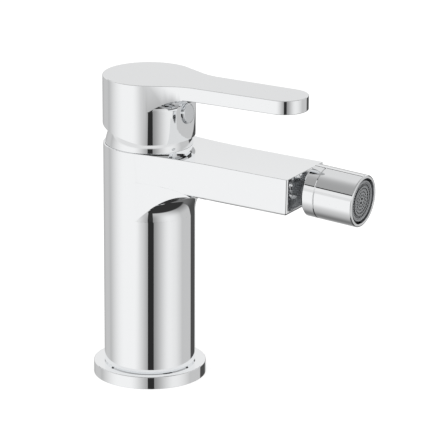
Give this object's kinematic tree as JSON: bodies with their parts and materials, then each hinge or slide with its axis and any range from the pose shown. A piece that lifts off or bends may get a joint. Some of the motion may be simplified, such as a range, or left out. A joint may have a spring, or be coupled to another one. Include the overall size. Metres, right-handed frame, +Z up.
{
  "type": "bidet mixer",
  "caption": "Single-lever bidet mixer: slim barrel on a base ring, flat spout with a swivelling ball-jointed outlet and aerator, ceramic disc cartridge under the lever.",
  "frame": {"origin": "on the deck, in the middle of the barrel, at the centre of the deck hole", "axes": "+Z up along the barrel, the spout and the lever's arm point along -Y, +X to the right of the person who uses it"},
  "size_m": [0.0544, 0.1435, 0.1494],
  "materials": {
    "chrome": "bright chrome plate, polished",
    "brass": "machined brass",
    "steel": "turned stainless steel",
    "rubber": "moulded black rubber",
    "cartridge_plastic": "moulded acetal",
    "seat_plastic": "moulded acetal",
    "aerator_plastic": "moulded grey acetal",
    "ceramic": "lapped alumina ceramic",
    "plug": "chrome-plated plastic"
  },
  "bodies": {
    "mixer": {"mixer_body": "chrome", "inlet_block": "brass", "base_flange": "chrome", "base_seal": "rubber", "dome_ring": "chrome", "cartridge_nut": "brass", "cartridge_housing": "cartridge_plastic", "housing_seal": "rubber", "cartridge_base": "cartridge_plastic", "port_seals": "rubber", "fixed_disc": "ceramic", "ball_nipple": "chrome", "nipple_washer": "rubber"},
    "guide": {"spindle_guide": "cartridge_plastic", "spindle_pin": "steel"},
    "lever": {"lever_handle": "chrome", "cartridge_spindle": "brass", "set_screw": "steel", "index_plug": "plug"},
    "disc": {"moving_disc": "ceramic", "disc_carrier": "cartridge_plastic"},
    "seat": {"ball_seat": "seat_plastic"},
    "packing": {"packing_ring": "rubber"},
    "outlet": {"swivel_ring": "chrome", "aerator_sleeve": "chrome", "aerator_washer": "rubber", "aerator_cup": "aerator_plastic", "aerator_diffuser": "aerator_plastic", "aerator_screens": "steel", "aerator_insert": "aerator_plastic"}
  },
  "joints": [
    {"name": "lever_swing", "type": "hinge", "parent": "mixer", "child": "guide", "pos_m": [0, 0, 0.114], "axis": [0, 0, 1], "range_deg": [-50, 50]},
    {"name": "lever_lift", "type": "hinge", "parent": "guide", "child": "lever", "pos_m": [0, 0, 0.114], "axis": [-1, 0, 0], "range_deg": [0, 25]},
    {"name": "disc_slide", "type": "slide", "parent": "guide", "child": "disc", "axis": [0, -1, 0], "range_m": [0, 0.0055]},
    {"name": "outlet_yaw", "type": "hinge", "parent": "mixer", "child": "seat", "pos_m": [0, -0.09369, 0.10561], "axis": [0, 0, 1], "range_deg": [-15, 15]},
    {"name": "outlet_pitch", "type": "hinge", "parent": "seat", "child": "packing", "pos_m": [0, -0.09369, 0.10561], "axis": [1, 0, 0], "range_deg": [-15, 15]},
    {"name": "outlet_spin", "type": "hinge", "parent": "packing", "child": "outlet", "pos_m": [0, -0.09369, 0.10561], "axis": [0, -0.998, -0.0628], "continuous": true}
  ],
  "couplings": [
    {"joint": "disc_slide", "follows": "lever_lift", "m_per_rad": 0.0126}
  ]
}
